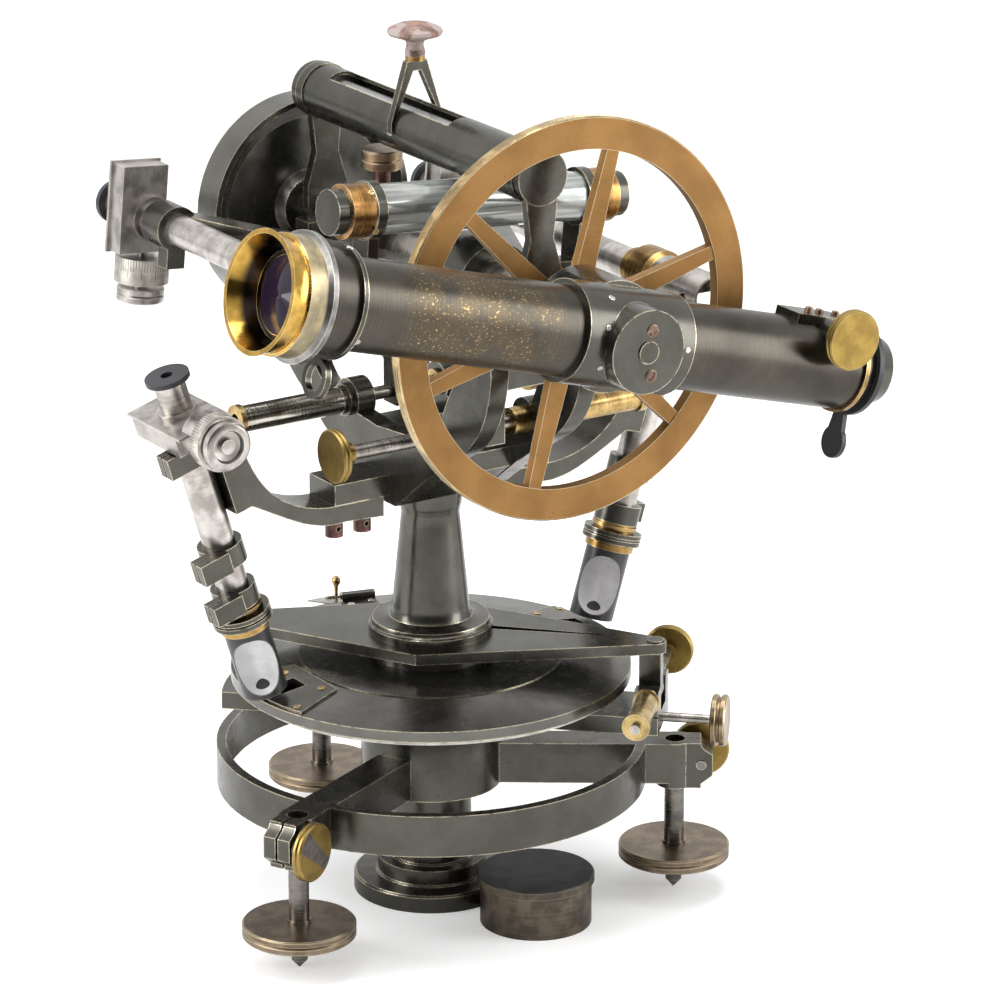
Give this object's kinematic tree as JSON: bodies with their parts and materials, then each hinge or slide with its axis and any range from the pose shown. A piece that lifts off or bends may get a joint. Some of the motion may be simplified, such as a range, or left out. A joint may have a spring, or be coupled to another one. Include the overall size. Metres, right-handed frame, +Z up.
{
  "type": "theodolite",
  "caption": "Surveyor's theodolite on a footed base, with telescope, graduated circles, micrometer microscopes and spirit levels.",
  "frame": {"origin": "on the vertical axis, at the underside of the pedestal foot", "axes": "+Z up along the vertical axis, +X toward the eyepiece end of the telescope, which lies on the -Y side"},
  "size_m": [0.3554, 0.3411, 0.4438],
  "materials": {
    "black_enamel": "satin black enamel with worn edges",
    "blued_steel": "darkened turned steel",
    "bright_steel": "bright turned steel",
    "silver": "silvered",
    "brass": "lacquered brass",
    "glass": "clear",
    "wood": "dark turned wood"
  },
  "bodies": {
    "base": {"base_casting": "black_enamel", "horizontal_circle": "silver"},
    "azimuth_clamp": {"azimuth_clamp_arm": "black_enamel", "azimuth_spring_barrel": "black_enamel"},
    "clamp_screw_azimuth": {"azimuth_clamp_screw": "blued_steel"},
    "alidade": {"alidade_plate": "black_enamel", "circle_cover": "black_enamel", "cover_fittings": "black_enamel", "column": "black_enamel", "yoke_plate_left": "black_enamel", "yoke_plate_right": "black_enamel", "yoke_bridges": "black_enamel", "microscope_brackets": "black_enamel", "capstan_screws": "blued_steel", "h_microscopes": "black_enamel", "h_clamps": "black_enamel", "h_reflectors": "black_enamel", "tangent_barrels": "black_enamel"},
    "plunger_azimuth": {"azimuth_plunger": "bright_steel"},
    "screw_azimuth": {"azimuth_tangent_screw": "brass"},
    "flap": {"flap_leaf": "silver"},
    "drum_h_left": {"h_drum_left": "silver"},
    "drum_h_right": {"h_drum_right": "silver"},
    "clamp_elevation": {"elevation_arm": "black_enamel"},
    "clamp_screw_elevation": {"elevation_clamp_screw": "blued_steel"},
    "plunger_elevation": {"elevation_plunger": "bright_steel"},
    "screw_elevation": {"elevation_tangent_screw": "blued_steel"},
    "index_arm": {"index_frame": "black_enamel", "v_microscopes": "black_enamel", "v_reflectors": "silver", "index_level_case": "brass", "index_level_glass": "glass"},
    "drum_v_left": {"v_drum_left": "silver"},
    "drum_v_right": {"v_drum_right": "silver"},
    "plunger_index": {"index_plunger": "bright_steel"},
    "screw_index": {"index_tangent_screw": "blued_steel"},
    "telescope": {"horizontal_axis": "bright_steel", "counterweight_drum": "black_enamel", "graduated_wheel": "black_enamel", "telescope_tube": "black_enamel", "telescope_sleeve": "black_enamel", "telescope_fittings": "black_enamel", "objective_cell": "black_enamel", "objective_lens": "glass"},
    "focusing_knob": {"focus_knob": "blued_steel"},
    "draw_tube": {"eyepiece_draw": "black_enamel"},
    "lever": {"eyepiece_lever": "black_enamel"},
    "striding": {"striding_level": "black_enamel", "striding_glass": "glass", "striding_handle": "wood"},
    "cap": {"loose_cap": "black_enamel"},
    "foot_clamp_1_body": {"foot_clamp_1": "blued_steel"},
    "point_1": {"foot_point_1": "bright_steel"},
    "screw_1": {"levelling_screw_1": "blued_steel"},
    "foot_clamp_2_body": {"foot_clamp_2": "blued_steel"},
    "point_2": {"foot_point_2": "bright_steel"},
    "screw_2": {"levelling_screw_2": "blued_steel"},
    "foot_clamp_3_body": {"foot_clamp_3": "blued_steel"},
    "point_3": {"foot_point_3": "bright_steel"},
    "screw_3": {"levelling_screw_3": "blued_steel"}
  },
  "joints": [
    {"name": "foot_lift_1", "type": "slide", "parent": "base", "child": "point_1", "axis": [0, 0, 1], "range_m": [-0.003, 0.003]},
    {"name": "levelling_turn_1", "type": "hinge", "parent": "point_1", "child": "screw_1", "pos_m": [-0.11011, -0.05299, 0.0205], "axis": [0, 0, 1], "range_deg": [-720, 720]},
    {"name": "foot_clamp_turn_1", "type": "hinge", "parent": "base", "child": "foot_clamp_1_body", "pos_m": [-0.12201, -0.05872, 0.0683], "axis": [0.4337, -0.9011, 0], "range_deg": [-180, 180]},
    {"name": "foot_lift_2", "type": "slide", "parent": "base", "child": "point_2", "axis": [0, 0, 1], "range_m": [-0.003, 0.003]},
    {"name": "levelling_turn_2", "type": "hinge", "parent": "point_2", "child": "screw_2", "pos_m": [0.10095, -0.06886, 0.0205], "axis": [0, 0, 1], "range_deg": [-720, 720]},
    {"name": "foot_clamp_turn_2", "type": "hinge", "parent": "base", "child": "foot_clamp_2_body", "pos_m": [0.11185, -0.0763, 0.0683], "axis": [0.5635, 0.8261, 0], "range_deg": [-180, 180]},
    {"name": "foot_lift_3", "type": "slide", "parent": "base", "child": "point_3", "axis": [0, 0, 1], "range_m": [-0.003, 0.003]},
    {"name": "levelling_turn_3", "type": "hinge", "parent": "point_3", "child": "screw_3", "pos_m": [0.00916, 0.12186, 0.0205], "axis": [0, 0, 1], "range_deg": [-720, 720]},
    {"name": "foot_clamp_turn_3", "type": "hinge", "parent": "base", "child": "foot_clamp_3_body", "pos_m": [0.01015, 0.13502, 0.0683], "axis": [-0.9972, 0.075, 0], "range_deg": [-180, 180]},
    {"name": "azimuth_turn", "type": "hinge", "parent": "base", "child": "azimuth_clamp", "pos_m": [0, 0, 0.1], "axis": [0, 0, 1], "continuous": true},
    {"name": "azimuth_clamp_turn", "type": "hinge", "parent": "azimuth_clamp", "child": "clamp_screw_azimuth", "pos_m": [0.05851, -0.05456, 0.098], "axis": [0.7314, -0.682, 0], "range_deg": [-180, 180]},
    {"name": "azimuth_slow_motion", "type": "hinge", "parent": "azimuth_clamp", "child": "alidade", "pos_m": [0, 0, 0.13], "axis": [0, 0, 1], "range_deg": [-1.5, 1.5]},
    {"name": "azimuth_plunger_slide", "type": "slide", "parent": "azimuth_clamp", "child": "plunger_azimuth", "axis": [0.682, 0.7314, 0], "range_m": [-0.00293, 0.00293]},
    {"name": "azimuth_screw_turn", "type": "hinge", "parent": "plunger_azimuth", "child": "screw_azimuth", "pos_m": [0.08155, -0.07604, 0.112], "axis": [0.682, 0.7314, 0], "range_deg": [-701, 701]},
    {"name": "flap_hinge", "type": "hinge", "parent": "alidade", "child": "flap", "pos_m": [0.00504, 0.09446, 0.1246], "axis": [-0.9707, 0.2402, 0], "range_deg": [0, 100]},
    {"name": "h_drum_turn_left", "type": "hinge", "parent": "alidade", "child": "drum_h_left", "pos_m": [-0.1402, -0.035, 0.26944], "axis": [0, -1, 0], "range_deg": [-720, 720]},
    {"name": "h_drum_turn_right", "type": "hinge", "parent": "alidade", "child": "drum_h_right", "pos_m": [0.1402, 0.035, 0.26944], "axis": [0, 1, 0], "range_deg": [-720, 720]},
    {"name": "elevation_slow_motion", "type": "hinge", "parent": "alidade", "child": "clamp_elevation", "pos_m": [0, 0.035, 0.3295], "axis": [0, 1, 0], "range_deg": [-1.5, 1.5]},
    {"name": "elevation_clamp_turn", "type": "hinge", "parent": "clamp_elevation", "child": "clamp_screw_elevation", "pos_m": [0, 0.043, 0.37], "axis": [0, 0, 1], "range_deg": [-180, 180]},
    {"name": "elevation_plunger_slide", "type": "slide", "parent": "alidade", "child": "plunger_elevation", "axis": [1, 0, 0], "range_m": [-0.00195, 0.00195]},
    {"name": "elevation_screw_turn", "type": "hinge", "parent": "plunger_elevation", "child": "screw_elevation", "pos_m": [0, 0.027, 0.2555], "axis": [1, 0, 0], "range_deg": [-466, 466]},
    {"name": "index_slow_motion", "type": "hinge", "parent": "alidade", "child": "index_arm", "pos_m": [0, -0.045, 0.3295], "axis": [0, 1, 0], "range_deg": [-1.5, 1.5]},
    {"name": "index_plunger_slide", "type": "slide", "parent": "alidade", "child": "plunger_index", "axis": [1, 0, 0], "range_m": [-0.0019, 0.0019]},
    {"name": "index_screw_turn", "type": "hinge", "parent": "plunger_index", "child": "screw_index", "pos_m": [0, -0.052, 0.2575], "axis": [1, 0, 0], "range_deg": [-453, 453]},
    {"name": "v_drum_turn_left", "type": "hinge", "parent": "index_arm", "child": "drum_v_left", "pos_m": [-0.09526, 0.1165, 0.30816], "axis": [-0.0918, 0, -0.9958], "range_deg": [-720, 720]},
    {"name": "v_drum_turn_right", "type": "hinge", "parent": "index_arm", "child": "drum_v_right", "pos_m": [0.08975, 0.1165, 0.29109], "axis": [-0.0918, 0, -0.9958], "range_deg": [-720, 720]},
    {"name": "telescope_turn", "type": "hinge", "parent": "clamp_elevation", "child": "telescope", "pos_m": [0, -0.1583, 0.3295], "axis": [0, 1, 0], "continuous": true},
    {"name": "eyepiece_slide", "type": "slide", "parent": "telescope", "child": "draw_tube", "axis": [0.9641, 0, -0.2656], "range_m": [0, 0.012]},
    {"name": "focus_turn", "type": "hinge", "parent": "telescope", "child": "focusing_knob", "pos_m": [0.11683, -0.187, 0.31609], "axis": [0, -1, 0], "range_deg": [0, 138]},
    {"name": "lever_turn", "type": "hinge", "parent": "draw_tube", "child": "lever", "pos_m": [0.13912, -0.1583, 0.29118], "axis": [0.9641, 0, -0.2656], "range_deg": [-45, 45]},
    {"name": "striding_lift", "type": "slide", "parent": "alidade", "child": "striding", "axis": [0, 0, 1], "range_m": [0, 0.1]},
    {"name": "cap_lift", "type": "slide", "parent": "base", "child": "cap", "axis": [0, 0, 1], "range_m": [0, 0.03]}
  ],
  "couplings": [
    {"joint": "foot_lift_1", "follows": "levelling_turn_1", "m_per_rad": 0.00023873},
    {"joint": "foot_lift_2", "follows": "levelling_turn_2", "m_per_rad": 0.00023873},
    {"joint": "foot_lift_3", "follows": "levelling_turn_3", "m_per_rad": 0.00023873},
    {"joint": "azimuth_plunger_slide", "follows": "azimuth_slow_motion", "m_per_rad": 0.1115},
    {"joint": "azimuth_screw_turn", "follows": "azimuth_slow_motion", "ratio": 467},
    {"joint": "elevation_plunger_slide", "follows": "elevation_slow_motion", "m_per_rad": -0.074},
    {"joint": "elevation_screw_turn", "follows": "elevation_slow_motion", "ratio": -310},
    {"joint": "index_plunger_slide", "follows": "index_slow_motion", "m_per_rad": -0.072},
    {"joint": "index_screw_turn", "follows": "index_slow_motion", "ratio": -301.6},
    {"joint": "focus_turn", "follows": "eyepiece_slide", "rad_per_m": 200}
  ]
}
